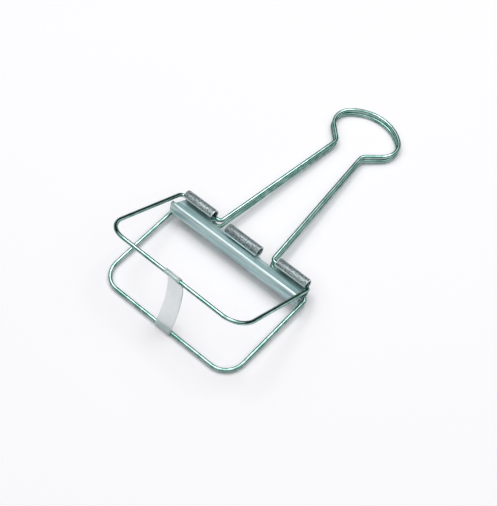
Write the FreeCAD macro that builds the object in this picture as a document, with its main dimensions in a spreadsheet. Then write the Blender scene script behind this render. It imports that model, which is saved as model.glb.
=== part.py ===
import FreeCAD, Part
import math
import os
import Sketcher

# Large wire letter clip, jaws propped open and lying on a table.
# A rolled sheet spring carries four bent wires: two jaw frames that point to -Y and
# two handles that point to +Y. A clear plastic strip hooks over both front bars.
# X is the width, +Z is up, and the origin is under the middle of the clip, on the table.

DIMENSIONS = {
    # round wire, the same for the jaws and the handles
    "wire_diameter": 1.2,
    # jaw frames: arms, front bar and the tangs that turn in the barrels
    "jaw_width": 49.8,
    "jaw_length": 33.5,
    "jaw_corner_radius": 6.4,
    "jaw_heel_radius": 1.6,
    "jaw_tang_length": 11.0,
    "jaw_angle": 15.0,
    # handles: tangs, legs, neck and finger loop
    "handle_tang_length": 11.4,
    "handle_heel_radius": 1.3,
    "handle_base_spread": 20.2,
    "handle_neck_spread": 9.8,
    "handle_neck_distance": 47.9,
    "handle_neck_radius": 2.7,
    "loop_width": 22.8,
    "loop_side_radius": 5.6,
    "loop_side_distance": 56.3,
    "handle_length": 64.2,
    "handle_rest_gap": 0.12,
    # sheet spring: web, bends, flanges and rolled barrels
    "sheet_thickness": 0.4,
    "web_length": 49.4,
    "barrel_length": 47.2,
    "bend_radius": 0.4,
    "flange_slope": 21.0,
    "flange_length": 3.35,
    "barrel_bore_radius": 1.55,
    "barrel_reach": 1.0,
    "barrel_wrap": 270.0,
    "middle_bore_radius": 1.45,
    "middle_wrap": 300.0,
    "middle_length": 12.4,
    "notch_width": 6.2,
    "notch_corner_radius": 1.0,
    "barrel_gap": 0.1,
    # where the wires lie inside the bore of a barrel
    "handle_tang_back": 0.45,
    "handle_tang_inward": 0.72,
    "jaw_tang_front": 0.62,
    "jaw_tang_outward": 0.22,
    # clear strip between the front bars
    "strip_width": 5.6,
    "strip_thickness": 0.3,
    "strip_clearance": 0.05,
    "strip_bow_radius": 28.0,
    "strip_hook_wrap": 150.0,
    "strip_offset": 0.4,
}

UP = FreeCAD.Vector(0, 0, 1)
X_AXIS = FreeCAD.Vector(1, 0, 0)


# ---------------------------------------------------------------- document and sheet

def make_sheet(doc):
    """Put every driving dimension in the spreadsheet under its own alias."""
    sheet = doc.addObject("Spreadsheet::Sheet", "Dimensions")
    for row, (alias, value) in enumerate(DIMENSIONS.items(), start=1):
        sheet.set(f"A{row}", alias.replace("_", " "))
        sheet.set(f"B{row}", str(value))
        sheet.setAlias(f"B{row}", alias)
    doc.recompute()
    return sheet


doc = FreeCAD.newDocument("LetterClip")
sheet = make_sheet(doc)


def size(alias):
    return float(sheet.get(alias))


def bound(alias):
    return f"{sheet.Name}.{alias}"


def cos(degrees):
    return math.cos(math.radians(degrees))


def sin(degrees):
    return math.sin(math.radians(degrees))


# ---------------------------------------------------------------- paths in a plane

def trace(start, heading, moves):
    """Follow straight runs and bends, each tangent to the last.

    A move is ("run", length) or ("bend", radius, degrees), positive to the left.
    Returns ("run", start, end) and ("bend", centre, radius, start angle, degrees).
    """
    x, y = start
    path = []
    for move in moves:
        if move[0] == "run":
            end = (x + move[1] * cos(heading), y + move[1] * sin(heading))
            path.append(("run", (x, y), end))
        else:
            radius, turn = move[1], move[2]
            side = math.copysign(90, turn)
            centre = (x + radius * cos(heading + side), y + radius * sin(heading + side))
            from_angle = heading - side
            path.append(("bend", centre, radius, from_angle, turn))
            heading += turn
            end = (centre[0] + radius * cos(from_angle + turn),
                   centre[1] + radius * sin(from_angle + turn))
        x, y = end
    return path


def end_of(path):
    last = path[-1]
    if last[0] == "run":
        return last[2]
    _, (x, y), radius, from_angle, turn = last
    return (x + radius * cos(from_angle + turn), y + radius * sin(from_angle + turn))


def start_of(path):
    first = path[0]
    if first[0] == "run":
        return first[1]
    _, (x, y), radius, from_angle, _ = first
    return (x + radius * cos(from_angle), y + radius * sin(from_angle))


def beside(path, offset):
    """The path moved to its left by offset, with every bend about the same centre."""
    moved = []
    for piece in path:
        if piece[0] == "run":
            (ax, ay), (bx, by) = piece[1:]
            length = math.hypot(bx - ax, by - ay)
            dx, dy = -(by - ay) / length * offset, (bx - ax) / length * offset
            moved.append(("run", (ax + dx, ay + dy), (bx + dx, by + dy)))
        else:
            _, centre, radius, from_angle, turn = piece
            wider = -offset if turn > 0 else offset
            moved.append(("bend", centre, radius + wider, from_angle, turn))
    return moved


# ---------------------------------------------------------------- sketches

def vector(point):
    return FreeCAD.Vector(point[0], point[1], 0)


def make_sketch(body, name, plane, offset=None):
    """A sketch on one of the body's own origin planes."""
    sketch = body.newObject("Sketcher::SketchObject", name)
    base = [f for f in body.Origin.OriginFeatures if f.Role == plane][0]
    sketch.AttachmentSupport = [(base, "")]
    sketch.MapMode = "FlatFace"
    if offset is not None:
        sketch.AttachmentOffset = FreeCAD.Placement(FreeCAD.Vector(0, 0, offset), FreeCAD.Rotation())
    return sketch


def hold(sketch, *rule):
    """Add a geometric constraint, or a dimension that follows from a drawn point."""
    return sketch.addConstraint(Sketcher.Constraint(*rule))


def drive(sketch, name, expression, *rule):
    """Add a dimension to the sketch and bind it to the spreadsheet."""
    number = hold(sketch, *rule)
    sketch.renameConstraint(number, name)
    sketch.setExpression(f"Constraints.{name}", expression)


def draw(sketch, path):
    """Add a path to the sketch and keep each run and bend tangent to the next.

    Returns the number of each piece with the numbers of its first and last point.
    """
    drawn = []
    for piece in path:
        if piece[0] == "run":
            line = Part.LineSegment(vector(piece[1]), vector(piece[2]))
            drawn.append((sketch.addGeometry(line, False), 1, 2))
            continue
        _, centre, radius, from_angle, turn = piece
        low, high = sorted((from_angle, from_angle + turn))
        circle = Part.Circle(vector(centre), UP, radius)
        arc = Part.ArcOfCircle(circle, math.radians(low), math.radians(high))
        number = sketch.addGeometry(arc, False)
        drawn.append((number, 1, 2) if turn > 0 else (number, 2, 1))
    for (one, _, one_end), (two, two_start, _) in zip(drawn, drawn[1:]):
        hold(sketch, "Tangent", one, one_end, two, two_start)
    return drawn


def draw_sheet_outline(sketch, path, half, half_expression, radii, wraps, name):
    """The closed outline of a sheet bent along the path: two sides and two square ends.

    Both sides of a bend share its centre. radii holds the expression of each bend's
    middle radius and wraps that of its turn. The far side of an inner bend follows.
    """
    left = beside(path, half)
    right = beside(path, -half)
    left_drawn = draw(sketch, left)
    right_drawn = draw(sketch, right)
    for number, piece in enumerate(path):
        left_side, right_side = left_drawn[number], right_drawn[number]
        tag = f"{name}_{number}"
        if piece[0] == "run":
            continue
        between_bends = number - 1 in radii and number + 1 in radii
        if not between_bends:
            hold(sketch, "Coincident", left_side[0], 3, right_side[0], 3)
        wider = "-" if piece[4] > 0 else "+"
        narrower = "+" if piece[4] > 0 else "-"
        drive(sketch, tag + "_left", f"{radii[number]} {wider} {half_expression}",
              "Radius", left_side[0], left[number][2])
        drive(sketch, tag + "_right", f"{radii[number]} {narrower} {half_expression}",
              "Radius", right_side[0], right[number][2])
        if number not in wraps:
            continue
        turn = math.radians(abs(piece[4]))
        drive(sketch, tag + "_left_wrap", wraps[number], "Angle", left_side[0], turn)
        if number in (0, max(radii)):
            drive(sketch, tag + "_right_wrap", wraps[number], "Angle", right_side[0], turn)
    caps = []
    for at_end in (False, True):
        ends = [side[-1 if at_end else 0] for side in (left_drawn, right_drawn)]
        points = [(end_of(side) if at_end else start_of(side)) for side in (left, right)]
        cap = sketch.addGeometry(Part.LineSegment(vector(points[0]), vector(points[1])), False)
        for point, (number, start, end) in zip((1, 2), ends):
            hold(sketch, "Coincident", cap, point, number, end if at_end else start)
        caps.append(cap)
    return left_drawn, right_drawn, caps


def make_wire(body, path_sketch, expression, value):
    """Sweep the round wire section along a path whose tang starts at X = value."""
    section = make_sketch(body, body.Name + "Section", "YZ_Plane", value)
    section.setExpression(".AttachmentOffset.Base.z", expression)
    section.addGeometry(Part.Circle(FreeCAD.Vector(), UP, size("wire_diameter") / 2), False)
    hold(section, "Coincident", 0, 3, -1, 1)
    drive(section, "wire_radius", bound("wire_diameter") + " / 2",
          "Radius", 0, size("wire_diameter") / 2)
    pipe = body.newObject("PartDesign::AdditivePipe", body.Name + "Wire")
    pipe.Profile = section
    pipe.Spine = (path_sketch, [])
    section.Visibility = False
    path_sketch.Visibility = False


def make_pad(body, sketch, expression):
    """Pad a profile to both sides of the middle plane."""
    pad = body.newObject("PartDesign::Pad", sketch.Name + "Pad")
    pad.Profile = sketch
    pad.SideType = "Symmetric"
    pad.setExpression("Length", expression)
    sketch.Visibility = False
    return pad


def new_body(label):
    body = doc.addObject("PartDesign::Body", label.title().replace("_", ""))
    body.Label = label
    return body


# ---------------------------------------------------------------- layout in the clip's own plane
# Here the clip is level: the web stands on the origin, jaws to -Y, handles to +Y, and
# the lower half mirrors the upper half. All the layout below is of the upper half.

wire_radius = size("wire_diameter") / 2
half_sheet = size("sheet_thickness") / 2
bend_middle = size("bend_radius") + half_sheet
slope = size("flange_slope")


def curl_centre(flange, curl_middle):
    """Centre of a barrel rolled at the end of a flange of that length."""
    y = bend_middle + (bend_middle + curl_middle) * sin(slope) + flange * cos(slope)
    rise = (bend_middle + curl_middle) * cos(slope) - flange * sin(slope)
    return y, rise


barrel_middle = size("barrel_bore_radius") + half_sheet
barrel_outer = size("barrel_bore_radius") + size("sheet_thickness")
outer_flange = size("flange_length") + size("barrel_reach")
barrel_y, barrel_rise = curl_centre(outer_flange, barrel_middle)
barrel_z = barrel_outer + size("barrel_gap") / 2
web_half_height = barrel_z - barrel_rise

jaw_tang_y = barrel_y - size("jaw_tang_front")
jaw_tang_z = barrel_z + size("jaw_tang_outward")
handle_tang_y = barrel_y + size("handle_tang_back")
handle_tang_z = barrel_z - size("handle_tang_inward")
bar_y = jaw_tang_y - size("jaw_length") * cos(size("jaw_angle"))
bar_z = jaw_tang_z + size("jaw_length") * sin(size("jaw_angle"))
hook_middle = wire_radius + size("strip_clearance") + size("strip_thickness") / 2
hook_outer = hook_middle + size("strip_thickness") / 2

# The same relations for the dimensions that the sheet drives through an expression.
half_sheet_bound = bound("sheet_thickness") + " / 2"
bend_bound = f"{bound('bend_radius')} + {half_sheet_bound}"
barrel_bound = f"{bound('barrel_bore_radius')} + {half_sheet_bound}"
barrel_z_bound = (f"({bound('barrel_bore_radius')} + {bound('sheet_thickness')}"
                  f" + {bound('barrel_gap')} / 2)")
web_bound = (f"{barrel_z_bound} - ({bend_bound} + {barrel_bound})"
             f" * cos({bound('flange_slope')} * 1 deg)"
             f" + ({bound('flange_length')} + {bound('barrel_reach')})"
             f" * sin({bound('flange_slope')} * 1 deg)")
bar_z_bound = (f"{barrel_z_bound} + {bound('jaw_tang_outward')}"
               f" + {bound('jaw_length')} * sin({bound('jaw_angle')} * 1 deg)")
hook_bound = (f"{bound('wire_diameter')} / 2 + {bound('strip_clearance')}"
              f" + {bound('strip_thickness')} / 2")

# The clip rests on the strip under the lower front bar and on the lower barrels.
foot_y, foot_z = barrel_y - bar_y, bar_z - barrel_z
foot_distance = math.hypot(foot_y, foot_z)
tilt = math.degrees(math.asin((barrel_outer - hook_outer) / foot_distance)
                    - math.atan2(foot_z, foot_y))


def lying(y, z):
    """A point of the level clip once the clip lies tilted on the table."""
    return y * cos(tilt) - z * sin(tilt), y * sin(tilt) + z * cos(tilt) + web_height


web_height = 0.0
web_height = barrel_outer - lying(barrel_y, -barrel_z)[1]

lower_hinge = lying(handle_tang_y, -handle_tang_z)
upper_hinge = lying(handle_tang_y, handle_tang_z)
upper_loop_height = 3 * wire_radius + size("handle_rest_gap")
lower_droop = math.degrees(math.asin((lower_hinge[1] - wire_radius) / size("handle_length")))
upper_droop = math.degrees(math.asin((upper_hinge[1] - upper_loop_height) / size("handle_length")))

front_reach = lying(bar_y, -bar_z)[0] - hook_outer
upper_front_reach = lying(bar_y, bar_z)[0] - hook_outer
back_reach = max(upper_hinge[0] + size("handle_length") * cos(upper_droop),
                 lower_hinge[0] + size("handle_length") * cos(lower_droop)) + wire_radius
middle_y = (min(front_reach, upper_front_reach) + back_reach) / 2

clip_placement = FreeCAD.Placement(FreeCAD.Vector(0, -middle_y, web_height),
                                   FreeCAD.Rotation(X_AXIS, tilt))


# ---------------------------------------------------------------- jaw frames

def jaw_path():
    """Left tang, left arm, front bar, right arm, right tang, all in one plane."""
    heel, corner = size("jaw_heel_radius"), size("jaw_corner_radius")
    half_width = size("jaw_width") / 2
    tang = ("run", size("jaw_tang_length") - heel)
    arm = ("run", size("jaw_length") - heel - corner)
    heel_bend, corner_bend = ("bend", heel, 90), ("bend", corner, 90)
    bar = ("run", size("jaw_width") - 2 * corner)
    moves = [tang, heel_bend, arm, corner_bend, bar, corner_bend, arm, heel_bend, tang]
    return trace((size("jaw_tang_length") - half_width, 0), 180, moves)


def make_jaw_frame(label, side):
    """One bent wire. side is +1 for the upper jaw and -1 for the lower."""
    body = new_body(label)
    sketch = make_sketch(body, body.Name + "Path", "XY_Plane")
    numbers = [number for number, _, _ in draw(sketch, jaw_path())]
    tang, heel, arm, corner, bar, corner_2, arm_2, heel_2, tang_2 = numbers
    for line in (tang, bar, tang_2):
        hold(sketch, "Horizontal", line)
    for line in (arm, arm_2):
        hold(sketch, "Vertical", line)
    hold(sketch, "PointOnObject", tang, 1, -1)
    hold(sketch, "PointOnObject", tang_2, 2, -1)
    for name, arc in (("heel_left", heel), ("heel_right", heel_2)):
        drive(sketch, name, bound("jaw_heel_radius"), "Radius", arc, size("jaw_heel_radius"))
    for name, arc in (("corner_left", corner), ("corner_right", corner_2)):
        drive(sketch, name, bound("jaw_corner_radius"), "Radius", arc, size("jaw_corner_radius"))
    half_width = size("jaw_width") / 2
    half_bound = bound("jaw_width") + " / 2"
    drive(sketch, "left", half_bound, "DistanceX", arm, 1, -1, 1, half_width)
    drive(sketch, "right", half_bound, "DistanceX", -1, 1, arm_2, 2, half_width)
    drive(sketch, "length", bound("jaw_length"), "DistanceY", bar, 1, -1, 1, size("jaw_length"))
    inner = half_width - size("jaw_tang_length")
    inner_bound = f"{half_bound} - {bound('jaw_tang_length')}"
    drive(sketch, "tang_left", inner_bound, "DistanceX", tang, 1, -1, 1, inner)
    drive(sketch, "tang_right", inner_bound, "DistanceX", -1, 1, tang_2, 2, inner)
    make_wire(body, sketch, f"-({inner_bound})", -inner)
    place = FreeCAD.Placement(FreeCAD.Vector(0, jaw_tang_y, side * jaw_tang_z),
                              FreeCAD.Rotation(X_AXIS, -side * size("jaw_angle")))
    body.Placement = clip_placement.multiply(place)
    return body


# ---------------------------------------------------------------- handles

def handle_path():
    """Right tang, right leg, neck, loop, neck, left leg and left tang."""
    base = size("handle_base_spread") / 2
    neck = (size("handle_neck_spread") / 2, size("handle_neck_distance"))
    side_radius = size("loop_side_radius")
    side = (size("loop_width") / 2 - side_radius, size("loop_side_distance"))
    crown = size("handle_length") - side[1]
    end_radius = ((side[0] ** 2 + crown ** 2 - side_radius ** 2)
                  / (2 * (crown - side_radius)))
    leg_heading = math.degrees(math.atan2(neck[1], neck[0] - base))
    leg_length = math.hypot(neck[1], neck[0] - base)
    to_side = math.hypot(side[0] - neck[0], side[1] - neck[1])
    slant_heading = math.degrees(math.atan2(side[1] - neck[1], side[0] - neck[0])
                                 - math.asin(side_radius / to_side))
    slant_length = math.sqrt(to_side ** 2 - side_radius ** 2)
    end_angle = math.degrees(math.atan2(side[1] - size("handle_length") + end_radius, side[0]))

    heel_turn = 180 - leg_heading
    heel_cut = size("handle_heel_radius") * math.tan(math.radians(heel_turn / 2))
    neck_turn = leg_heading - slant_heading
    neck_cut = size("handle_neck_radius") * math.tan(math.radians(neck_turn / 2))
    half = [
        ("run", size("handle_tang_length") - heel_cut),
        ("bend", size("handle_heel_radius"), -heel_turn),
        ("run", leg_length - heel_cut - neck_cut),
        ("bend", size("handle_neck_radius"), -neck_turn),
        ("run", slant_length - neck_cut),
        ("bend", side_radius, 90 + end_angle - slant_heading),
    ]
    end = ("bend", end_radius, 180 - 2 * end_angle)
    return trace((base + size("handle_tang_length"), 0), 180, half + [end] + half[::-1])


def guide_point(sketch, side, name, x_alias, y_alias=None):
    """A point off the centre line that the straight runs of the wire aim at."""
    x = size(x_alias) / 2
    y = size(y_alias) if y_alias else 0
    point = sketch.addGeometry(Part.Point(vector((side * x, y))), True)
    ends = (-1, 1, point, 1) if side > 0 else (point, 1, -1, 1)
    drive(sketch, name + "_x", bound(x_alias) + " / 2", "DistanceX", *ends, x)
    if y_alias:
        drive(sketch, name + "_y", bound(y_alias), "DistanceY", -1, 1, point, 1, y)
    else:
        hold(sketch, "PointOnObject", point, 1, -1)
    return point


def make_handle(label, hinge, droop):
    """One bent wire that lies from its hinge down to the table."""
    body = new_body(label)
    sketch = make_sketch(body, body.Name + "Path", "XY_Plane")
    numbers = [number for number, _, _ in draw(sketch, handle_path())]
    end = numbers[6]
    halves = ((1, "right", numbers[:6], 1), (-1, "left", numbers[:6:-1], 2))
    inner = size("handle_base_spread") / 2 + size("handle_tang_length")
    inner_bound = f"{bound('handle_base_spread')} / 2 + {bound('handle_tang_length')}"
    side_x = size("loop_width") / 2 - size("loop_side_radius")
    side_bound = f"{bound('loop_width')} / 2 - {bound('loop_side_radius')}"
    for side, name, (tang, heel, leg, neck, slant, bow), tip in halves:
        hold(sketch, "Horizontal", tang)
        hold(sketch, "PointOnObject", tang, tip, -1)
        reach = (-1, 1, tang, tip) if side > 0 else (tang, tip, -1, 1)
        drive(sketch, name + "_tang", inner_bound, "DistanceX", *reach, inner)
        for arc, alias in ((heel, "handle_heel_radius"), (neck, "handle_neck_radius"),
                           (bow, "loop_side_radius")):
            drive(sketch, f"{name}_{alias}", bound(alias), "Radius", arc, size(alias))
        base = guide_point(sketch, side, name + "_base", "handle_base_spread")
        waist = guide_point(sketch, side, name + "_neck", "handle_neck_spread",
                            "handle_neck_distance")
        hold(sketch, "PointOnObject", base, 1, leg)
        hold(sketch, "PointOnObject", waist, 1, leg)
        hold(sketch, "PointOnObject", waist, 1, slant)
        centre = (-1, 1, bow, 3) if side > 0 else (bow, 3, -1, 1)
        drive(sketch, name + "_bow_x", side_bound, "DistanceX", *centre, side_x)
        drive(sketch, name + "_bow_y", bound("loop_side_distance"),
              "DistanceY", -1, 1, bow, 3, size("loop_side_distance"))
    crown = sketch.addGeometry(Part.Point(vector((0, size("handle_length")))), True)
    hold(sketch, "PointOnObject", crown, 1, -2)
    drive(sketch, "length", bound("handle_length"),
          "DistanceY", -1, 1, crown, 1, size("handle_length"))
    hold(sketch, "PointOnObject", crown, 1, end)
    make_wire(body, sketch, inner_bound, inner)
    body.Placement = FreeCAD.Placement(FreeCAD.Vector(0, hinge[0] - middle_y, hinge[1]),
                                       FreeCAD.Rotation(X_AXIS, -droop))
    return body


# ---------------------------------------------------------------- sheet spring

def make_profile(body, name, flange, flange_bound, curl, curl_bound, wrap):
    """Half of the spring seen from the side: web, bend, flange and barrel.

    flange is None where the sheet ends with its bend, and curl is None where it ends
    with its flange.
    """
    moves = [("run", web_half_height), ("bend", bend_middle, -90 - slope)]
    radii, wraps = {1: bend_bound}, {1: f"90 deg + {bound('flange_slope')} * 1 deg"}
    if flange is not None:
        moves.append(("run", flange))
    if curl is not None:
        moves.append(("bend", curl, size(wrap)))
        radii[3], wraps[3] = curl_bound, f"{bound(wrap)} * 1 deg"
    path = trace((0, 0), 90, moves)
    sketch = make_sketch(body, name, "YZ_Plane")
    left, right, caps = draw_sheet_outline(sketch, path, half_sheet, half_sheet_bound,
                                           radii, wraps, "bend")
    for number in (left[0][0], right[0][0]):
        hold(sketch, "Vertical", number)
        hold(sketch, "PointOnObject", number, 1, -1)
    drive(sketch, "left_face", half_sheet_bound, "DistanceX", left[0][0], 1, -1, 1, half_sheet)
    drive(sketch, "web", web_bound, "DistanceY", left[0][0], 1, left[0][0], 2, web_half_height)
    if flange is not None:
        drive(sketch, "flange", flange_bound, "Distance", left[2][0], flange)
    if flange is not None and curl is None:
        drive(sketch, "flange_below", flange_bound, "Distance", right[2][0], flange)
    return sketch


def make_spring_body():
    """One strip of spring steel: web, two bends, two flanges and six rolled barrels."""
    body = new_body("spring_body")
    rolled = make_profile(body, "BarrelProfile", outer_flange,
                          f"{bound('flange_length')} + {bound('barrel_reach')}",
                          barrel_middle, barrel_bound, "barrel_wrap")
    make_pad(body, rolled, bound("barrel_length"))
    cut_notches(body)
    ears = make_profile(body, "EarProfile", None, None, None, None, None)
    make_pad(body, ears, bound("web_length"))
    middle = make_profile(body, "MiddleProfile", size("flange_length"), bound("flange_length"),
                          size("middle_bore_radius") + half_sheet,
                          f"{bound('middle_bore_radius')} + {half_sheet_bound}", "middle_wrap")
    make_pad(body, middle, bound("middle_length"))
    doc.recompute()
    mirror = body.newObject("PartDesign::Mirrored", "LowerHalf")
    mirror.TransformMode = "Whole shape"
    plane = [f for f in body.Origin.OriginFeatures if f.Role == "XY_Plane"][0]
    mirror.MirrorPlane = (plane, [""])
    body.Tip = mirror
    body.Placement = clip_placement
    return body


def cut_notches(body):
    """Cut the barrel away between the two outer barrels, with rounded inner corners."""
    half_span = size("middle_length") / 2 + size("notch_width")
    span_bound = f"{bound('middle_length')} / 2 + {bound('notch_width')}"
    radius = size("notch_corner_radius")
    tip_y, tip_bound = notch_front()
    back = barrel_y + 2 * barrel_outer
    moves = [("run", back - tip_y - radius), ("bend", radius, 90),
             ("run", 2 * (half_span - radius)), ("bend", radius, 90),
             ("run", back - tip_y - radius)]
    path = trace((-half_span, back), 270, moves)
    sketch = make_sketch(body, "NotchProfile", "XY_Plane")
    left, corner, front, corner_2, right = [number for number, _, _ in draw(sketch, path)]
    closing = Part.LineSegment(vector((half_span, back)), vector((-half_span, back)))
    close = sketch.addGeometry(closing, False)
    hold(sketch, "Coincident", right, 2, close, 1)
    hold(sketch, "Coincident", close, 2, left, 1)
    for line in (left, right):
        hold(sketch, "Vertical", line)
    for line in (front, close):
        hold(sketch, "Horizontal", line)
    for name, arc in (("corner_left", corner), ("corner_right", corner_2)):
        drive(sketch, name, bound("notch_corner_radius"), "Radius", arc, radius)
    drive(sketch, "left", span_bound, "DistanceX", left, 1, -1, 1, half_span)
    drive(sketch, "right", span_bound, "DistanceX", -1, 1, right, 2, half_span)
    drive(sketch, "front", tip_bound, "DistanceY", -1, 1, front, 1, tip_y)
    hold(sketch, "DistanceY", front, 1, close, 1, back - tip_y)
    pocket = body.newObject("PartDesign::Pocket", "Notches")
    pocket.Profile = sketch
    pocket.SideType = "Symmetric"
    pocket.Type = "ThroughAll"
    sketch.Visibility = False


def notch_front():
    """Where the flange ends under the middle barrel, and the same as an expression."""
    value = bend_middle + bend_middle * sin(slope) + size("flange_length") * cos(slope)
    expression = (f"({bend_bound}) * (1 + sin({bound('flange_slope')} * 1 deg))"
                  f" + {bound('flange_length')} * cos({bound('flange_slope')} * 1 deg)")
    return value, expression


# ---------------------------------------------------------------- clear strip

def strip_path():
    """Hook over the upper bar, bow towards the handles, and hook under the lower bar."""
    wrap = size("strip_hook_wrap")
    bow = size("strip_bow_radius")
    lift = bow * hook_middle / bar_z
    back = math.sqrt((bow - hook_middle) ** 2 - (bar_z - lift) ** 2)
    upper_angle = math.degrees(math.atan2(bar_z - lift, back))
    lower_angle = math.degrees(math.atan2(bar_z + lift, back))
    start_angle = upper_angle + wrap
    start = (hook_middle * cos(start_angle), bar_z + hook_middle * sin(start_angle))
    moves = [("bend", hook_middle, -wrap),
             ("bend", bow, -upper_angle - lower_angle),
             ("bend", hook_middle, wrap)]
    return trace(start, start_angle - 90, moves)


def make_clear_strip():
    """A narrow clear plastic strip that props the two front bars apart."""
    body = new_body("clear_strip")
    sketch = make_sketch(body, "StripProfile", "YZ_Plane")
    wrap = bound("strip_hook_wrap") + " * 1 deg"
    left, right, caps = draw_sheet_outline(
        sketch, strip_path(), size("strip_thickness") / 2, bound("strip_thickness") + " / 2",
        {0: hook_bound, 1: bound("strip_bow_radius"), 2: hook_bound}, {0: wrap, 2: wrap}, "hook")
    upper, lower = left[0][0], left[2][0]
    for hook in (upper, lower):
        hold(sketch, "PointOnObject", hook, 3, -2)
    drive(sketch, "upper_bar", bar_z_bound, "DistanceY", -1, 1, upper, 3, bar_z)
    drive(sketch, "lower_bar", bar_z_bound, "DistanceY", lower, 3, -1, 1, bar_z)
    make_pad(body, sketch, bound("strip_width"))
    place = FreeCAD.Placement(FreeCAD.Vector(size("strip_offset"), bar_y, 0), FreeCAD.Rotation())
    body.Placement = clip_placement.multiply(place)
    return body


# ---------------------------------------------------------------- build, check and write

parts = [
    make_spring_body(),
    make_jaw_frame("upper_jaw_frame", 1),
    make_jaw_frame("lower_jaw_frame", -1),
    make_handle("upper_handle", upper_hinge, upper_droop),
    make_handle("lower_handle", lower_hinge, lower_droop),
    make_clear_strip(),
]
doc.recompute()

for item in doc.Objects:
    if "Invalid" in item.State or "Error" in item.State:
        raise RuntimeError(f"{item.Name} failed: {item.State}")
for part in parts:
    if part.Shape.isNull() or not part.Shape.isValid() or len(part.Shape.Solids) != 1:
        raise RuntimeError(f"{part.Label} is not one valid solid")

os.makedirs("parts", exist_ok=True)
for part in parts:
    part.Shape.exportStep(f"parts/{part.Label}.step")
    box = part.Shape.BoundBox
    print(f"{part.Label:18s} volume {part.Shape.Volume:8.2f}  "
          f"x {box.XMin:7.2f} {box.XMax:7.2f}  y {box.YMin:7.2f} {box.YMax:7.2f}  "
          f"z {box.ZMin:6.2f} {box.ZMax:6.2f}")

web_axis = (0, -middle_y, web_height)
print(f"web axis y {web_axis[1]:.3f} z {web_axis[2]:.3f}, tilt {tilt:.3f}")
print(f"upper handle axis y {upper_hinge[0] - middle_y:.3f} z {upper_hinge[1]:.3f}, "
      f"droop {upper_droop:.3f}")
print(f"lower handle axis y {lower_hinge[0] - middle_y:.3f} z {lower_hinge[1]:.3f}, "
      f"droop {lower_droop:.3f}")
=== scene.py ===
import math

import bmesh
import bpy
from mathutils import Matrix, Vector


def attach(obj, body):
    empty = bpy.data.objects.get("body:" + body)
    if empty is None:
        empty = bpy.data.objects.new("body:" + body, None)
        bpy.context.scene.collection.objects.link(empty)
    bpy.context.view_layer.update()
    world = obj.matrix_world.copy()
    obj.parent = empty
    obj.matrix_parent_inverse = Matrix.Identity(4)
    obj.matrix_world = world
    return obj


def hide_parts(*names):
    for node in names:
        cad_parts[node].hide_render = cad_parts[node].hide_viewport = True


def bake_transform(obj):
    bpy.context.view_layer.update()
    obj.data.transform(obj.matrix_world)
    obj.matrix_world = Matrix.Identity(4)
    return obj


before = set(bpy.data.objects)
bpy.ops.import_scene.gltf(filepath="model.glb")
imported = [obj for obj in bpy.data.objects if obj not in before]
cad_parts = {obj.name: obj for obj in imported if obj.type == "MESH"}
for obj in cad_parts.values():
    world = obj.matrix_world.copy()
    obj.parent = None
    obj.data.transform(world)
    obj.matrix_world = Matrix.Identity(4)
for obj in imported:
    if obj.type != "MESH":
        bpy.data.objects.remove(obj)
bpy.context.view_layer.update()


# ==== Camera ========================================================================
# A close-up from the front right and well above, taken from about a third of a metre
# away, so that the arms of the jaws run together towards the spring.

CAMERA_TURN, CAMERA_HEIGHT = math.radians(41.74), math.radians(57.18)
CAMERA_AIM = Vector((0.003032, -0.016577, 0.004231))
CAMERA_DISTANCE = 0.36147
PIXELS_PER_METRE, PHOTO_WIDTH, PHOTO_HEIGHT = 3439.9, 497, 506
SENSOR_WIDTH = 36    # mm

to_camera = Vector((math.sin(CAMERA_TURN) * math.cos(CAMERA_HEIGHT),
                    -math.cos(CAMERA_TURN) * math.cos(CAMERA_HEIGHT),
                    math.sin(CAMERA_HEIGHT)))
bpy.ops.object.camera_add(location=CAMERA_AIM + to_camera * CAMERA_DISTANCE)
camera = bpy.context.object
camera.rotation_euler = (-to_camera).to_track_quat("-Z", "Y").to_euler()
camera.data.sensor_width = SENSOR_WIDTH
camera.data.lens = (SENSOR_WIDTH * CAMERA_DISTANCE * PIXELS_PER_METRE
                    / max(PHOTO_WIDTH, PHOTO_HEIGHT))
camera.data.clip_start, camera.data.clip_end = 0.01, 50
bpy.context.scene.camera = camera


# ==== Jaw frames and handles ========================================================
# Four pieces of round spring wire, 1.2 mm thick, each bent to shape in one go. The steel
# is nickel plated and dipped in a clear mint-green lacquer, so the eye sees bright metal
# as if through coloured glass: a pale line along the wire between deep green flanks.

LACQUER_PALE, LACQUER_DEEP = "#BBD8D1", "#7DAAA0"
EDGE_GREEN, COAT_GREEN = "#2F4F48", "#DDF2EC"
LACQUER_PATCH = 2.5                     # mm, length of the thick and thin places of the dip
THICK_PLACE, THIN_PLACE = 0.36, 0.66    # where the noise stands for a thick and a thin coat
DIE_MARK = 0.22                         # mm, coarser than the real marks of the drawing die


def linear(colour):
    """An sRGB hex colour as linear red, green, blue and full alpha."""
    channels = [int(colour[i:i + 2], 16) / 255 for i in (1, 3, 5)]
    return [c / 12.92 if c <= 0.04045 else ((c + 0.055) / 1.055) ** 2.4 for c in channels] + [1]


def add_node(tree, kind, values=None, links=None, **settings):
    """One shader node with its settings, the values of its sockets and what feeds them."""
    new = tree.nodes.new(kind)
    for name, value in settings.items():
        setattr(new, name, value)
    for socket, value in (values or {}).items():
        new.inputs[socket].default_value = value
    for socket, source in (links or {}).items():
        tree.links.new(source, new.inputs[socket])
    return new


def start_material(name):
    """An empty material, its node tree and its object coordinates."""
    material = bpy.data.materials.new(name)
    material.use_nodes = True
    material.node_tree.nodes.clear()
    place = add_node(material.node_tree, "ShaderNodeTexCoord")
    return material, material.node_tree, place.outputs["Object"]


def coat(obj, material):
    """Give a piece one material in place of all that it has."""
    obj.data.materials.clear()
    obj.data.materials.append(material)


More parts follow.
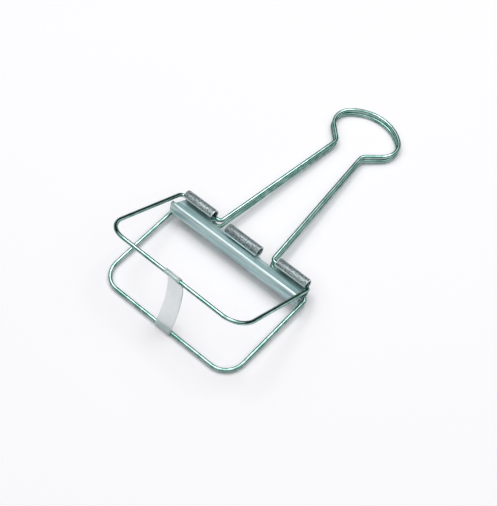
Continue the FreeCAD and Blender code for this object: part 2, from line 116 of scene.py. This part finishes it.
lacquered_wire, tree, place = start_material("mint_lacquer_on_plated_wire")
patches = add_node(tree, "ShaderNodeTexNoise", {"Scale": 1000 / LACQUER_PATCH, "Detail": 3},
                   {"Vector": place})
depth = add_node(tree, "ShaderNodeValToRGB", links={"Fac": patches.outputs["Fac"]})
depth.color_ramp.elements[0].position = THICK_PLACE
depth.color_ramp.elements[1].position = THIN_PLACE
depth.color_ramp.elements[0].color = linear(LACQUER_DEEP)
depth.color_ramp.elements[1].color = linear(LACQUER_PALE)
lines = add_node(tree, "ShaderNodeTexNoise", {"Scale": 1000 / DIE_MARK, "Detail": 2},
                 {"Vector": place})
polish = add_node(tree, "ShaderNodeMapRange", {"To Min": 0.09, "To Max": 0.16},
                  {"Value": lines.outputs["Fac"]})
relief = add_node(tree, "ShaderNodeBump", {"Strength": 0.06, "Distance": 0.00002},
                  {"Height": lines.outputs["Fac"]})
metal = add_node(tree, "ShaderNodeBsdfPrincipled",
                 {"Metallic": 1.0, "Specular Tint": linear(EDGE_GREEN),
                  "Coat Weight": 0.25, "Coat Roughness": 0.05, "Coat IOR": 1.5,
                  "Coat Tint": linear(COAT_GREEN)},
                 {"Base Color": depth.outputs["Color"], "Roughness": polish.outputs["Result"],
                  "Normal": relief.outputs["Normal"]})
add_node(tree, "ShaderNodeOutputMaterial", links={"Surface": metal.outputs["BSDF"]})

for wire in ("upper_jaw_frame", "lower_jaw_frame", "upper_handle", "lower_handle"):
    coat(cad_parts[wire], lacquered_wire)


# ==== Sheet spring ==================================================================
# One strip of spring steel, tumbled and lacquered grey-green: an upright web, two tight
# bends, two sloping flanges, and their ends rolled into barrels round the wires. The web
# flexes as the jaws close, and each half of the rest stays with its own jaw.

# The spring is made level, with the middle of its web at zero, in millimetres and degrees,
# and then laid down where the clip lies on the table.
CLIP_TILT = math.radians(-13.4096)
CLIP_PLACE = Vector((0, -0.020305, 0.005172))
SHEET, SLOPE = 0.4, 21.0
WEB_HALF_LENGTH, BARREL_END, NOTCH_END, MIDDLE_END = 24.7, 23.6, 12.4, 6.2
WEB_HALF_HEIGHT, BEND = 1.365, 0.6
FLANGE, REACH = 3.35, 1.0
BARREL, BARREL_TURN, MIDDLE_BARREL, MIDDLE_TURN = 1.75, 270, 1.65, 300
BEND_STEPS, BARREL_STEPS, MIDDLE_STEPS, WEB_ROWS = 8, 27, 30, 12
SHEET_ROUND, WEB_ROUND = 0.07, 0.05    # rounding of the cut edges
SHARP_ANGLE, SMOOTH_ANGLE = 50, 40     # what counts as an edge to round, and to keep crisp
EAR_START = 0.3                        # behind the bend, where the ears are cut off
SAME_LINE, SAME_CUT = 0.02, 0.01       # how near a corner has to be to count as on a line
WELD = 0.000005                        # metres, within which corners are joined


def mm(*numbers):
    """A point or a step given in millimetres, in metres."""
    return Vector(numbers) / 1000


def only(obj, mode="EDIT"):
    """Make one object the selected and active one, in edit mode with nothing selected."""
    if bpy.context.object and bpy.context.object.mode != "OBJECT":
        bpy.ops.object.mode_set(mode="OBJECT")
    bpy.ops.object.select_all(action="DESELECT")
    obj.select_set(True)
    bpy.context.view_layer.objects.active = obj
    bpy.ops.object.mode_set(mode=mode)
    if mode == "EDIT":
        bpy.ops.mesh.select_mode(type="EDGE")
        bpy.ops.mesh.select_all(action="DESELECT")


def pick(obj, test):
    """Select the edges of the object in edit mode whose two ends pass the test."""
    mesh = bmesh.from_edit_mesh(obj.data)
    bpy.ops.mesh.select_all(action="DESELECT")
    for edge in mesh.edges:
        edge.select_set(all(test(v.co * 1000) for v in edge.verts))
    mesh.select_flush(True)
    bmesh.update_edit_mesh(obj.data)


def near(value, wanted):
    """Whether a place is the wanted one, in millimetres."""
    return abs(value - wanted) < SAME_LINE


slope = math.radians(SLOPE)
flange_start = (BEND + BEND * math.sin(slope), WEB_HALF_HEIGHT + BEND * math.cos(slope))
flange_end = (flange_start[0] + FLANGE * math.cos(slope),
              flange_start[1] - FLANGE * math.sin(slope))
reach_end = (flange_end[0] + REACH * math.cos(slope), flange_end[1] - REACH * math.sin(slope))

# The flange is a flat strip, cut where the notches and the barrels end.
bpy.ops.object.select_all(action="DESELECT")
bpy.ops.mesh.primitive_plane_add(size=0.001, location=(0, 0, 0))
upper_half = bpy.context.object
upper_half.name = "spring_upper_half"
only(upper_half)
bpy.ops.mesh.select_all(action="SELECT")
bpy.ops.transform.resize(value=(2 * WEB_HALF_LENGTH, FLANGE, 1))
bpy.ops.transform.rotate(value=slope, orient_axis="X", center_override=(0, 0, 0))
middle = mm(0, (flange_start[0] + flange_end[0]) / 2, (flange_start[1] + flange_end[1]) / 2)
bpy.ops.transform.translate(value=middle)
for side in (-1, 1):
    for cut in (BARREL_END, NOTCH_END, MIDDLE_END):
        bpy.ops.mesh.select_all(action="SELECT")
        bpy.ops.mesh.bisect(plane_co=mm(side * cut, 0, 0), plane_no=(1, 0, 0))

# Its front edge is spun down into the bend, and its ears past the barrels are cut off.
pick(upper_half, lambda p: near(p.y, flange_start[0]))
bpy.ops.mesh.spin(steps=BEND_STEPS, angle=-math.radians(90 + SLOPE), axis=(1, 0, 0),
                  center=mm(0, BEND, WEB_HALF_HEIGHT))
bpy.ops.mesh.select_all(action="DESELECT")
mesh = bmesh.from_edit_mesh(upper_half.data)
ears = [f for f in mesh.faces
        if abs(f.calc_center_median().x) > BARREL_END / 1000
        and f.calc_center_median().y > (flange_start[0] + EAR_START) / 1000]
bmesh.ops.delete(mesh, geom=ears, context="FACES")
bmesh.update_edit_mesh(upper_half.data)

# Its back edge reaches on at both ends, and all three stretches are rolled up.
for side in (-1, 1):
    pick(upper_half, lambda p: near(p.y, flange_end[0])
         and NOTCH_END - SAME_CUT < side * p.x < BARREL_END + SAME_CUT)
    bpy.ops.mesh.extrude_edges_move(TRANSFORM_OT_translate={
        "value": mm(0, reach_end[0] - flange_end[0], reach_end[1] - flange_end[1])})
    bpy.ops.mesh.spin(steps=BARREL_STEPS, angle=-math.radians(BARREL_TURN), axis=(1, 0, 0),
                      center=mm(0, reach_end[0] + BARREL * math.sin(slope),
                                reach_end[1] + BARREL * math.cos(slope)))
pick(upper_half, lambda p: near(p.y, flange_end[0]) and abs(p.x) < MIDDLE_END + SAME_CUT)
bpy.ops.mesh.spin(steps=MIDDLE_STEPS, angle=-math.radians(MIDDLE_TURN), axis=(1, 0, 0),
                  center=mm(0, flange_end[0] + MIDDLE_BARREL * math.sin(slope),
                            flange_end[1] + MIDDLE_BARREL * math.cos(slope)))
bpy.ops.mesh.select_all(action="SELECT")
bpy.ops.mesh.remove_doubles(threshold=WELD)
bpy.ops.mesh.normals_make_consistent(inside=False)
bpy.ops.object.mode_set(mode="OBJECT")


def finish_sheet(obj, thickness, edge):
    """Give a bent surface its thickness and rounded edges, and shade it smooth."""
    only(obj, "OBJECT")
    wall = obj.modifiers.new("wall", "SOLIDIFY")
    wall.thickness, wall.offset, wall.use_even_offset = thickness / 1000, 0, True
    bpy.ops.object.modifier_apply(modifier=wall.name)
    round_over = obj.modifiers.new("edge", "BEVEL")
    round_over.width, round_over.segments = edge / 1000, 2
    round_over.limit_method, round_over.angle_limit = "ANGLE", math.radians(SHARP_ANGLE)
    bpy.ops.object.modifier_apply(modifier=round_over.name)
    bpy.ops.object.shade_smooth_by_angle(angle=math.radians(SMOOTH_ANGLE))


def lay_down(obj, offset=(0, 0, 0)):
    """Move a piece from the level clip to where the clip lies, with its place in its mesh."""
    turn = Matrix.Rotation(CLIP_TILT, 4, "X")
    obj.data.transform(Matrix.Translation(CLIP_PLACE) @ turn @ Matrix.Translation(mm(*offset)))


# The web is a strip of its own, because it is the part that flexes.
bpy.ops.object.select_all(action="DESELECT")
bpy.ops.mesh.primitive_plane_add(size=0.001, location=(0, 0, 0))
web = bpy.context.object
web.name = "spring_web"
only(web)
bpy.ops.mesh.select_all(action="SELECT")
bpy.ops.transform.resize(value=(2 * WEB_HALF_LENGTH, 2 * WEB_HALF_HEIGHT, 1))
bpy.ops.transform.rotate(value=math.radians(90), orient_axis="X", center_override=(0, 0, 0))
for row in range(1, WEB_ROWS):
    row_height = (2 * row / WEB_ROWS - 1) * WEB_HALF_HEIGHT
    bpy.ops.mesh.select_all(action="SELECT")
    bpy.ops.mesh.bisect(plane_co=mm(0, 0, row_height), plane_no=(0, 0, 1))
bpy.ops.object.mode_set(mode="OBJECT")

# The lower half is the upper one mirrored, before either has its thickness.
only(upper_half, "OBJECT")
bpy.ops.object.duplicate()
lower_half = bpy.context.object
lower_half.name = "spring_lower_half"
only(lower_half)
bpy.ops.mesh.select_all(action="SELECT")
bpy.ops.transform.resize(value=(1, 1, -1), center_override=(0, 0, 0))
bpy.ops.mesh.normals_make_consistent(inside=False)
bpy.ops.object.mode_set(mode="OBJECT")

for piece, edge in ((upper_half, SHEET_ROUND), (lower_half, SHEET_ROUND), (web, WEB_ROUND)):
    finish_sheet(piece, SHEET, edge)
    lay_down(piece)

# Rolled steel under a thin grey-green lacquer gives a satin sheet with fine streaks along it.
# Painted reflection: speckled grey barrels. Painted highlight: pale bends. Cut edges worn
# bright.
SHEET_PALE, SHEET_DEEP, SHEET_COAT = "#D8EAEE", "#86ADB0", "#DCEDE9"
# Painted reflection: the barrels are painted a darker, speckled grey in place of the dark room
# that the same lacquer reflects.
REFLECTED_GREY_PALE, REFLECTED_GREY_DEEP = "#A9B2B5", "#566065"
# Near white: a painted highlight along the bends, and bare metal where the barrels' cut edges
# are worn.
WORN_AND_HIGHLIGHT = "#F1F8F8"
STREAK_WIDTH, STREAK_STRETCH = 0.3, 50    # mm, wider than real rolling lines, and how drawn out
STREAK_DARK, STREAK_LIGHT = 0.36, 0.62    # where the noise stands for a dark and a light streak
TUMBLE_MARK = 0.45                        # mm, coarser than the real marks
MARK_DARK, MARK_LIGHT = 0.40, 0.60        # where the noise stands for a dark and a light mark
BARREL_GREY_START, BARREL_GREY_FULL = 0.4, 0.7        # mm over the flange
BEND_START, BEND_FULL = 1.5, 1.7          # mm over or under the middle of the web
BACK_FULL, BACK_END = 0.1, 0.3            # mm behind the web
EDGE_BACK = 0.2                           # mm, how far back a worn barrel edge fades out
EDGE_FULL, EDGE_TOP = 2.1, 2.3            # mm over the flange
MIDDLE_OFFSET = 0.9                       # mm, from a middle barrel's edge to an end barrel's
RING, RING_REACH = 0.13, 25.0             # mm, half a ring at a cut, and how far the ramp runs

lacquered_sheet, tree, place = start_material("grey_green_lacquer_on_spring_steel")
upright = Matrix.Rotation(-CLIP_TILT, 3, "X")
level = add_node(tree, "ShaderNodeMapping",
                 {"Location": -(upright @ CLIP_PLACE), "Rotation": (-CLIP_TILT, 0, 0)},
                 {"Vector": place})
along = add_node(tree, "ShaderNodeMapping", {"Scale": (1 / STREAK_STRETCH, 1, 1)},
                 {"Vector": level.outputs["Vector"]})
rolled = add_node(tree, "ShaderNodeTexNoise", {"Scale": 1000 / STREAK_WIDTH, "Detail": 3},
                  {"Vector": along.outputs["Vector"]})
marks = add_node(tree, "ShaderNodeTexNoise",
                 {"Scale": 1000 / TUMBLE_MARK, "Detail": 4, "Roughness": 0.6}, {"Vector": place})
flat = add_node(tree, "ShaderNodeValToRGB", links={"Fac": rolled.outputs["Fac"]})
flat.color_ramp.elements[0].position = STREAK_DARK
flat.color_ramp.elements[1].position = STREAK_LIGHT
flat.color_ramp.elements[0].color = linear(SHEET_DEEP)
flat.color_ramp.elements[1].color = linear(SHEET_PALE)
# Painted reflection: the barrel grey, speckled by the marks.
painted_barrel_reflection = add_node(tree, "ShaderNodeValToRGB", links={"Fac": marks.outputs["Fac"]})
painted_barrel_reflection.color_ramp.elements[0].position = MARK_DARK
painted_barrel_reflection.color_ramp.elements[1].position = MARK_LIGHT
painted_barrel_reflection.color_ramp.elements[0].color = linear(REFLECTED_GREY_DEEP)
painted_barrel_reflection.color_ramp.elements[1].color = linear(REFLECTED_GREY_PALE)

# Height over the flange tells the barrels from the rest of the sheet.
sides = add_node(tree, "ShaderNodeSeparateXYZ", links={"Vector": level.outputs["Vector"]})
up_or_down = add_node(tree, "ShaderNodeMath", links={0: sides.outputs["Z"]},
                      operation="ABSOLUTE")
backwards = add_node(tree, "ShaderNodeMath", {1: math.sin(slope)}, {0: sides.outputs["Y"]},
                     operation="MULTIPLY")
off_the_flange = add_node(tree, "ShaderNodeMath", {1: math.cos(slope)},
                          {0: up_or_down.outputs["Value"], 2: backwards.outputs["Value"]},
                          operation="MULTIPLY_ADD")
flange_face = flange_start[0] * math.sin(slope) + flange_start[1] * math.cos(slope)
barrel_part = add_node(tree, "ShaderNodeMapRange",
                       {"From Min": (flange_face + BARREL_GREY_START) / 1000,
                        "From Max": (flange_face + BARREL_GREY_FULL) / 1000},
                       {"Value": off_the_flange.outputs["Value"]})
# The barrels take the painted grey reflection in place of the streaked sheet.
tone = add_node(tree, "ShaderNodeMix", None,
                {0: barrel_part.outputs["Result"], 6: flat.outputs["Color"],
                 7: painted_barrel_reflection.outputs["Color"]}, data_type="RGBA")

# The bends are painted near white as a painted highlight. Tumbling wears the lacquer off
# along the free edge of each barrel and round the cut ends.
# Painted highlight: near white along both bends.
bend_height = add_node(tree, "ShaderNodeMapRange",
                       {"From Min": BEND_START / 1000, "From Max": BEND_FULL / 1000},
                       {"Value": up_or_down.outputs["Value"]})
bend_front = add_node(tree, "ShaderNodeMapRange",
                      {"From Min": BACK_FULL / 1000, "From Max": BACK_END / 1000,
                       "To Min": 1, "To Max": 0}, {"Value": sides.outputs["Y"]})
painted_bend_highlight = add_node(tree, "ShaderNodeMath", None,
                 {0: bend_height.outputs["Result"], 1: bend_front.outputs["Result"]},
                 operation="MULTIPLY")

sunk = add_node(tree, "ShaderNodeMath", {1: -math.sin(slope)},
                {0: up_or_down.outputs["Value"]}, operation="MULTIPLY")
down_the_flange = add_node(tree, "ShaderNodeMath", {1: math.cos(slope)},
                           {0: sides.outputs["Y"], 2: sunk.outputs["Value"]},
                           operation="MULTIPLY_ADD")
sideways = add_node(tree, "ShaderNodeMath", links={0: sides.outputs["X"]}, operation="ABSOLUTE")
in_middle = add_node(tree, "ShaderNodeMath", {1: (MIDDLE_END + NOTCH_END) / 2000},
                     {0: sideways.outputs["Value"]}, operation="LESS_THAN")
edge_depth = add_node(tree, "ShaderNodeMath", {1: MIDDLE_OFFSET / 1000},
                      {0: in_middle.outputs["Value"], 2: down_the_flange.outputs["Value"]},
                      operation="MULTIPLY_ADD")
edge_height = add_node(tree, "ShaderNodeMath", {1: MIDDLE_OFFSET / 1000},
                       {0: in_middle.outputs["Value"], 2: off_the_flange.outputs["Value"]},
                       operation="MULTIPLY_ADD")
barrel_front = flange_end[0] * math.cos(slope) - flange_end[1] * math.sin(slope)
edge_front = add_node(tree, "ShaderNodeMapRange",
                      {"From Min": barrel_front / 1000,
                       "From Max": (barrel_front + EDGE_BACK) / 1000,
                       "To Min": 1, "To Max": 0}, {"Value": edge_depth.outputs["Value"]})
edge_low = add_node(tree, "ShaderNodeMapRange",
                    {"From Min": (flange_face + EDGE_FULL) / 1000,
                     "From Max": (flange_face + EDGE_TOP) / 1000,
                     "To Min": 1, "To Max": 0}, {"Value": edge_height.outputs["Value"]})
free_edges = add_node(tree, "ShaderNodeMath", None,
                      {0: edge_front.outputs["Result"], 1: edge_low.outputs["Result"]},
                      operation="MULTIPLY")

from_middle = add_node(tree, "ShaderNodeMapRange", {"From Max": RING_REACH / 1000},
                       {"Value": sideways.outputs["Value"]})
end_rings = add_node(tree, "ShaderNodeValToRGB", links={"Fac": from_middle.outputs["Result"]})
end_rings.color_ramp.interpolation = "CONSTANT"
for cut in (MIDDLE_END, NOTCH_END, BARREL_END):
    end_rings.color_ramp.elements.new((cut - RING) / RING_REACH).color = (1, 1, 1, 1)
    end_rings.color_ramp.elements.new((cut + RING) / RING_REACH).color = (0, 0, 0, 1)
end_rings.color_ramp.elements[-1].color = (0, 0, 0, 1)

edges_and_rings = add_node(tree, "ShaderNodeMath", None,
                           {0: free_edges.outputs["Value"], 1: end_rings.outputs["Color"]},
                           operation="MAXIMUM")
on_barrels = add_node(tree, "ShaderNodeMath", None,
                      {0: edges_and_rings.outputs["Value"], 1: barrel_part.outputs["Result"]},
                      operation="MULTIPLY")
# Painted highlight on the bends, together with real wear on the barrel edges and cut ends.
worn_edges_and_bend_highlight = add_node(tree, "ShaderNodeMath", None,
                {0: painted_bend_highlight.outputs["Value"], 1: on_barrels.outputs["Value"]},
                operation="MAXIMUM")
worn_and_highlight_tone = add_node(tree, "ShaderNodeMix", {7: linear(WORN_AND_HIGHLIGHT)},
                     {0: worn_edges_and_bend_highlight.outputs["Value"], 6: tone.outputs[2]}, data_type="RGBA")
rough = add_node(tree, "ShaderNodeMapRange", {"To Min": 0.28, "To Max": 0.46},
                 {"Value": marks.outputs["Fac"]})
sheen = add_node(tree, "ShaderNodeMix", {3: 0.22},
                 {0: worn_edges_and_bend_highlight.outputs["Value"], 2: rough.outputs["Result"]}, data_type="FLOAT")
grain = add_node(tree, "ShaderNodeBump", {"Strength": 0.2, "Distance": 0.00003},
                 {"Height": rolled.outputs["Fac"]})
dents = add_node(tree, "ShaderNodeBump", {"Strength": 0.3, "Distance": 0.00006},
                 {"Height": marks.outputs["Fac"], "Normal": grain.outputs["Normal"]})
metal = add_node(tree, "ShaderNodeBsdfPrincipled",
                 {"Metallic": 0.4, "Coat Weight": 0.4, "Coat Roughness": 0.2,
                  "Coat IOR": 1.5, "Coat Tint": linear(SHEET_COAT)},
                 {"Base Color": worn_and_highlight_tone.outputs[2], "Roughness": sheen.outputs[0],
                  "Normal": dents.outputs["Normal"]})
add_node(tree, "ShaderNodeOutputMaterial", links={"Surface": metal.outputs["BSDF"]})

for piece, body in ((upper_half, "upper"), (lower_half, "lower"), (web, None)):
    coat(piece, lacquered_sheet)
    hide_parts("spring_body")
    if body:
        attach(piece, body)
coat(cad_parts["spring_body"], lacquered_sheet)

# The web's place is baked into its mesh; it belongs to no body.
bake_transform(web)


# ==== Clear strip ===================================================================
# A narrow strip of clear plastic, 0.3 mm thick, that the maker hooks over both front
# bars to hold the jaws open for display. It is cut from sheet, a little milky all over,
# and creased by hand round the wires.

# In millimetres and degrees. The bars lie BAR_FORWARD of the middle of the web, and
# BAR_HEIGHT over and under it.
STRIP_WIDTH, STRIP_THICK, STRIP_ACROSS = 5.6, 0.3, 0.4
BAR_FORWARD, BAR_HEIGHT = -27.48, 10.89
HOOK, HOOK_TURN, BOW = 0.8, 150, 28.0
HOOK_STEPS, BOW_STEPS, STRIP_CUTS = 14, 24, 5
STRIP_ROUND = 0.06    # rounding of the cut edges
SAME_ROW = 0.03       # how near a row of edges has to be to count as the one meant

lift = BOW * HOOK / BAR_HEIGHT
bow_back = math.sqrt((BOW - HOOK) ** 2 - (BAR_HEIGHT - lift) ** 2)
upper_angle = math.atan2(BAR_HEIGHT - lift, bow_back)
lower_angle = math.atan2(BAR_HEIGHT + lift, bow_back)
tip_angle = upper_angle + math.radians(HOOK_TURN)

bpy.ops.object.select_all(action="DESELECT")
bpy.ops.mesh.primitive_plane_add(size=0.001, location=(0, 0, 0))
strip = bpy.context.object
strip.name = "clear_prop_strip"
only(strip)
bpy.ops.mesh.select_mode(type="VERT")
bpy.ops.mesh.select_all(action="SELECT")
bpy.ops.mesh.merge(type="CENTER")
bpy.ops.transform.translate(value=mm(-STRIP_WIDTH / 2, HOOK * math.cos(tip_angle),
                                     BAR_HEIGHT + HOOK * math.sin(tip_angle)))
bpy.ops.mesh.extrude_vertices_move(TRANSFORM_OT_translate={"value": mm(STRIP_WIDTH, 0, 0)})
bpy.ops.mesh.select_mode(type="EDGE")
pick(strip, lambda p: True)
bpy.ops.mesh.subdivide(number_cuts=STRIP_CUTS)


def free_edge(obj, point):
    """Select the one row of edges that lies across the strip at that point of its side."""
    pick(obj, lambda p: abs(p.y - point[0]) < SAME_ROW and abs(p.z - point[1]) < SAME_ROW)


bpy.ops.mesh.spin(steps=HOOK_STEPS, angle=math.radians(HOOK_TURN), axis=(1, 0, 0),
                  center=mm(0, 0, BAR_HEIGHT))
bow_start = (HOOK * math.cos(upper_angle), BAR_HEIGHT + HOOK * math.sin(upper_angle))
free_edge(strip, bow_start)
bpy.ops.mesh.spin(steps=BOW_STEPS, angle=upper_angle + lower_angle, axis=(1, 0, 0),
                  center=mm(0, -bow_back, lift))
bow_end = (-bow_back + BOW * math.cos(lower_angle), lift - BOW * math.sin(lower_angle))
free_edge(strip, bow_end)
bpy.ops.mesh.spin(steps=HOOK_STEPS, angle=-math.radians(HOOK_TURN), axis=(1, 0, 0),
                  center=mm(0, 0, -BAR_HEIGHT))
bpy.ops.mesh.select_all(action="SELECT")
bpy.ops.mesh.remove_doubles(threshold=WELD)
bpy.ops.mesh.normals_make_consistent(inside=False)
bpy.ops.object.mode_set(mode="OBJECT")
finish_sheet(strip, STRIP_THICK, STRIP_ROUND)
lay_down(strip, (STRIP_ACROSS, BAR_FORWARD, 0))

# Clear polyester sheet: the table shows through it, softened by a cloudy haze and by
# faint lines across it from the rollers.
PLASTIC, HAZE = "#FAFCFC", "#EEF4F4"
CLOUD, ROLLER_LINE = 2.2, 4.398        # mm, size of a cloud, and from line to line
HAZY_PLACE, CLEAR_PLACE = 0.35, 0.7    # where the noise stands for hazy and for clear
WAVE_RADIANS = 20                      # what a wave texture turns through in one unit

clear_plastic, tree, place = start_material("milky_clear_pet_sheet")
cloud = add_node(tree, "ShaderNodeTexNoise", {"Scale": 1000 / CLOUD, "Detail": 4},
                 {"Vector": place})
milk = add_node(tree, "ShaderNodeValToRGB", links={"Fac": cloud.outputs["Fac"]})
milk.color_ramp.elements[0].position = HAZY_PLACE
milk.color_ramp.elements[1].position = CLEAR_PLACE
milk.color_ramp.elements[0].color = linear(HAZE)
milk.color_ramp.elements[1].color = linear(PLASTIC)
haze = add_node(tree, "ShaderNodeMapRange", {"To Min": 0.25, "To Max": 0.4},
                {"Value": cloud.outputs["Fac"]})
ribs = add_node(tree, "ShaderNodeTexWave",
                {"Scale": math.tau * 1000 / ROLLER_LINE / WAVE_RADIANS, "Distortion": 1.5},
                {"Vector": place}, bands_direction="Z")
press = add_node(tree, "ShaderNodeBump", {"Strength": 0.08, "Distance": 0.00003},
                 {"Height": ribs.outputs["Fac"]})
plastic = add_node(tree, "ShaderNodeBsdfPrincipled",
                   {"Transmission Weight": 0.8, "IOR": 1.45},
                   {"Base Color": milk.outputs["Color"], "Roughness": haze.outputs["Result"],
                    "Normal": press.outputs["Normal"]})
add_node(tree, "ShaderNodeOutputMaterial", links={"Surface": plastic.outputs["BSDF"]})

coat(strip, clear_plastic)
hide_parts("clear_strip")
coat(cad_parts["clear_strip"], clear_plastic)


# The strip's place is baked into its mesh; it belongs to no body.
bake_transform(strip)


# ==== Table and light ===============================================================
# A sheet of white paper is the table. A light tent round it is bright overhead and dark at
# its sides, so that the wires show a pale line between dark flanks, and two soft lamps
# light the wires that run across and those that run back.

# Uncoated paper is matt, with a faint tooth. The fibres are coarser than real ones.
TABLE_RADIUS = 6.0                     # metres
PAPER, PAPER_FIBRE = "#FBFAFC", 0.4    # mm

bpy.ops.object.select_all(action="DESELECT")
bpy.ops.mesh.primitive_circle_add(vertices=96, radius=TABLE_RADIUS, fill_type="NGON",
                                  location=(0, 0, 0))
table = bpy.context.object
table.name = "white_table"
paper, tree, place = start_material("white_paper_table")
fibre = add_node(tree, "ShaderNodeTexNoise", {"Scale": 1000 / PAPER_FIBRE, "Detail": 2},
                 {"Vector": place})
tooth = add_node(tree, "ShaderNodeBump", {"Strength": 0.03, "Distance": 0.00005},
                 {"Height": fibre.outputs["Fac"]})
surface = add_node(tree, "ShaderNodeBsdfPrincipled",
                   {"Base Color": linear(PAPER), "Roughness": 0.75},
                   {"Normal": tooth.outputs["Normal"]})
add_node(tree, "ShaderNodeOutputMaterial", links={"Surface": surface.outputs["BSDF"]})
coat(table, paper)

# Sizes and places of the lamps are in metres, and their power is in watts.
LAMP_SIZE = 0.32
LAMPS = (("lamp_for_the_bars", (-0.36, 0.14, 0.98), 2.15),
         ("lamp_for_the_legs", (0.04, 0.42, 0.96), 2.15))
for name, stand, power in LAMPS:
    bpy.ops.object.light_add(type="AREA", location=stand)
    lamp = bpy.context.object
    lamp.name = name
    lamp.data.shape, lamp.data.size, lamp.data.energy = "SQUARE", LAMP_SIZE, power
    lamp.rotation_euler = (-Vector(stand)).to_track_quat("-Z", "Y").to_euler()
    lamp.visible_camera = False

# The tent is plain white where it is seen behind the table or through the plastic.
TENT_WHITE = "#FDFDFE"
SIDE_LIGHT, TOP_LIGHT = 0.05, 1.08
DARK_BELOW, BRIGHT_ABOVE = 0.58, 0.68    # sines of the height over the horizon
tent = bpy.data.worlds.new("white_light_tent")
bpy.context.scene.world = tent
tent.use_nodes = True
tree = tent.node_tree
tree.nodes.clear()
outward = add_node(tree, "ShaderNodeTexCoord")
height = add_node(tree, "ShaderNodeSeparateXYZ", links={"Vector": outward.outputs["Generated"]})
brightness = add_node(tree, "ShaderNodeMapRange",
                      {"From Min": DARK_BELOW, "From Max": BRIGHT_ABOVE,
                       "To Min": SIDE_LIGHT, "To Max": TOP_LIGHT},
                      {"Value": height.outputs["Z"]},
                      interpolation_type="SMOOTHSTEP")
rays = add_node(tree, "ShaderNodeLightPath")
seen = add_node(tree, "ShaderNodeMath", None, {0: rays.outputs["Is Camera Ray"],
                                               1: rays.outputs["Is Transmission Ray"]},
                operation="MAXIMUM")
strength = add_node(tree, "ShaderNodeMix", {3: 1.0},
                    {0: seen.outputs["Value"], 2: brightness.outputs["Result"]},
                    data_type="FLOAT")
glow = add_node(tree, "ShaderNodeBackground", {"Color": linear(TENT_WHITE)},
                {"Strength": strength.outputs[0]})
add_node(tree, "ShaderNodeOutputWorld", links={"Surface": glow.outputs["Background"]})
bpy.context.scene.view_settings.view_transform = "Standard"
